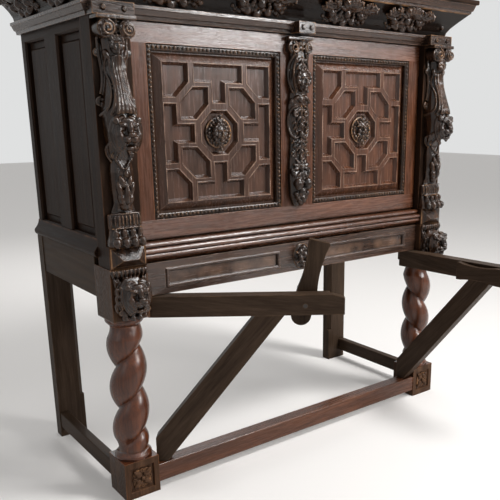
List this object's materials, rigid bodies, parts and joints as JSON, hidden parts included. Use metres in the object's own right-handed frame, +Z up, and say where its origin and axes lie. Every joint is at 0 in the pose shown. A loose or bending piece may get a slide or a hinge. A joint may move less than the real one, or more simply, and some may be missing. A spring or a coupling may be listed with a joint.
{
  "type": "court cupboard",
  "caption": "Carved oak fall-front cupboard on an open stand with twisted front legs, swinging gates with props for the fall, framed sides and a flared cornice.",
  "frame": {"origin": "on the floor under the middle of the stand, midway between the outer faces of the legs", "axes": "+X to the right seen from the front, +Y to the back, +Z up; the fall and the carved front face -Y"},
  "size_m": [1.47, 1.0564, 1.445],
  "materials": {
    "oak_dark": "dark stained and waxed",
    "oak_carved": "carved, dark stained and waxed",
    "oak_polished": "turned and polished",
    "oak_worn": "waxed, worn lighter",
    "oak_plain": "plain, little finish",
    "iron_pin": "dull forged"
  },
  "bodies": {
    "stand_and_case": {"apron_front": "oak_dark", "apron_fruit": "oak_carved", "apron_panel_left": "oak_dark", "apron_panel_right": "oak_dark", "base_board": "oak_plain", "base_front": "oak_dark", "bed_moulding": "oak_dark", "case_back": "oak_plain", "case_ceiling": "oak_plain", "case_floor": "oak_plain", "corner_post_left": "oak_dark", "corner_post_right": "oak_dark", "cornice_moulding": "oak_dark", "foot_rosette_left": "oak_carved", "foot_rosette_right": "oak_carved", "frieze": "oak_carved", "frieze_dies": "oak_carved", "head_rail": "oak_dark", "leg_back_left": "oak_dark", "leg_back_right": "oak_dark", "leg_front_left": "oak_polished", "leg_front_right": "oak_polished", "lion_mask_left": "oak_carved", "lion_mask_right": "oak_carved", "plinth_boss_left": "oak_carved", "plinth_boss_right": "oak_carved", "rail_back": "oak_plain", "rail_side_left": "oak_dark", "rail_side_right": "oak_dark", "side_frame_left": "oak_dark", "side_frame_right": "oak_dark", "side_panels_left": "oak_dark", "side_panels_right": "oak_dark", "stretcher_front": "oak_dark", "stretcher_side_left": "oak_dark", "stretcher_side_right": "oak_dark", "term_left": "oak_carved", "term_right": "oak_carved", "top_board": "oak_dark", "waist_moulding_front": "oak_dark", "waist_moulding_left": "oak_dark", "waist_moulding_right": "oak_dark"},
    "fall": {"fall_frame": "oak_worn", "fall_panel_left": "oak_dark", "fall_panel_right": "oak_dark", "fall_bead_left": "oak_carved", "fall_bead_right": "oak_carved", "panel_rosette_left": "oak_carved", "panel_rosette_right": "oak_carved", "fall_term": "oak_carved", "fall_pivot_pins": "iron_pin"},
    "gate_left": {"gate_arm_left": "oak_dark", "gate_brace_left": "oak_dark", "gate_pins_left": "iron_pin"},
    "gate_right": {"gate_arm_right": "oak_dark", "gate_brace_right": "oak_dark", "gate_pins_right": "iron_pin"},
    "prop_left": {"prop_left": "oak_dark"},
    "prop_right": {"prop_right": "oak_dark"}
  },
  "joints": [
    {"name": "fall_hinge", "type": "hinge", "parent": "stand_and_case", "child": "fall", "pos_m": [0, -0.231, 0.74], "axis": [1, 0, 0], "range_deg": [0, 90]},
    {"name": "gate_left_hinge", "type": "hinge", "parent": "stand_and_case", "child": "gate_left", "pos_m": [-0.516, -0.242, 0.3], "axis": [0, 0, -1], "range_deg": [-24, 57]},
    {"name": "gate_right_hinge", "type": "hinge", "parent": "stand_and_case", "child": "gate_right", "pos_m": [0.516, -0.242, 0.3], "axis": [0, 0, 1], "range_deg": [-95, 0]},
    {"name": "prop_left_turn", "type": "hinge", "parent": "gate_left", "child": "prop_left", "pos_m": [-0.15448, -0.46712, 0.547], "axis": [0.5821, 0.8131, 0], "range_deg": [-104, 0]},
    {"name": "prop_right_turn", "type": "hinge", "parent": "gate_right", "child": "prop_right", "pos_m": [0.52575, -0.66777, 0.547], "axis": [0.9962, 0.0872, 0], "range_deg": [0, 104]}
  ]
}
